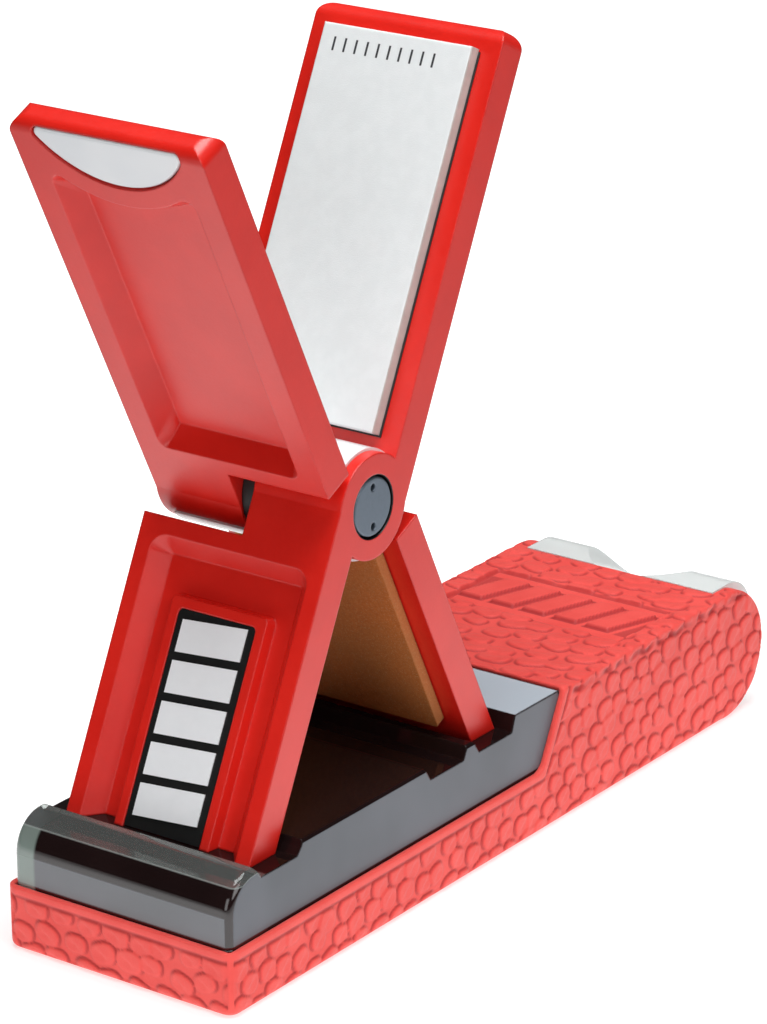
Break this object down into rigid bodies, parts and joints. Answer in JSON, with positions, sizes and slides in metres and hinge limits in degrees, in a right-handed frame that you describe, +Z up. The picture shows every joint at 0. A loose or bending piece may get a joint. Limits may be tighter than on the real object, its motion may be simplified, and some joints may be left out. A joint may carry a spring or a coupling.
{
  "type": "folding V knife edge sharpener",
  "caption": "Folding V edge sharpener: two crossed arms with ceramic stones and strops stand in a grooved storage-handle base.",
  "frame": {"origin": "middle of the underside of the base", "axes": "+X along the base from the grooved deck to the storage door, +Y across the base, +Z up"},
  "size_m": [0.216, 0.063, 0.1911],
  "materials": {
    "rubber_red": "matte, moulded scale relief",
    "smoke_plastic": "glossy smoke grey, slightly translucent",
    "arm_red": "satin moulded red",
    "ceramic_white": "fine matte ceramic",
    "leather_brown": "napped brown leather",
    "tape_grey": "near-black adhesive pad",
    "label_black": "black with raised white bars",
    "insert_white": "glossy white",
    "steel_grey": "satin grey",
    "washer_black": "matte black",
    "bush_white": "natural acetal",
    "pin_steel": "plain steel"
  },
  "bodies": {
    "base": {"grip_sleeve": "rubber_red", "case_bottom": "smoke_plastic", "case_top": "smoke_plastic", "door_pins": "pin_steel"},
    "end_door": {"end_door": "smoke_plastic"},
    "pivot": {"pivot_barrel_nut": "steel_grey", "pivot_screw": "steel_grey", "friction_washer": "washer_black"},
    "arm_1": {"arm_1_frame": "arm_red", "arm_1_ceramic_stone": "ceramic_white", "arm_1_stone_tape": "tape_grey", "arm_1_strop_pad": "leather_brown", "arm_1_strop_tape": "tape_grey", "arm_1_label_plate": "label_black", "arm_1_crescent_insert": "insert_white", "arm_1_stone_side_guard": "insert_white", "arm_1_strop_side_guard": "insert_white", "arm_1_pivot_bush": "bush_white"},
    "arm_2": {"arm_2_frame": "arm_red", "arm_2_ceramic_stone": "ceramic_white", "arm_2_stone_tape": "tape_grey", "arm_2_strop_pad": "leather_brown", "arm_2_strop_tape": "tape_grey", "arm_2_label_plate": "label_black", "arm_2_crescent_insert": "insert_white", "arm_2_stone_side_guard": "insert_white", "arm_2_strop_side_guard": "insert_white", "arm_2_pivot_bush": "bush_white"}
  },
  "joints": [
    {"name": "sharpener_lift", "type": "slide", "parent": "base", "child": "pivot", "axis": [0, 0, 1], "range_m": [0, 0.13]},
    {"name": "arm_1_fold", "type": "hinge", "parent": "pivot", "child": "arm_1", "pos_m": [-0.0473, 0, 0.0967], "axis": [0, 1, 0], "range_deg": [-26, 0]},
    {"name": "arm_2_fold", "type": "hinge", "parent": "pivot", "child": "arm_2", "pos_m": [-0.0473, 0, 0.0967], "axis": [0, 1, 0], "range_deg": [0, 26]},
    {"name": "end_door_hinge", "type": "hinge", "parent": "base", "child": "end_door", "pos_m": [0.0918, 0, 0.0034], "axis": [0, 1, 0], "range_deg": [0, 100]}
  ],
  "couplings": [
    {"joint": "arm_1_fold", "follows": "sharpener_lift", "rad_per_m": -3.4906},
    {"joint": "arm_2_fold", "follows": "sharpener_lift", "rad_per_m": 3.4906}
  ]
}
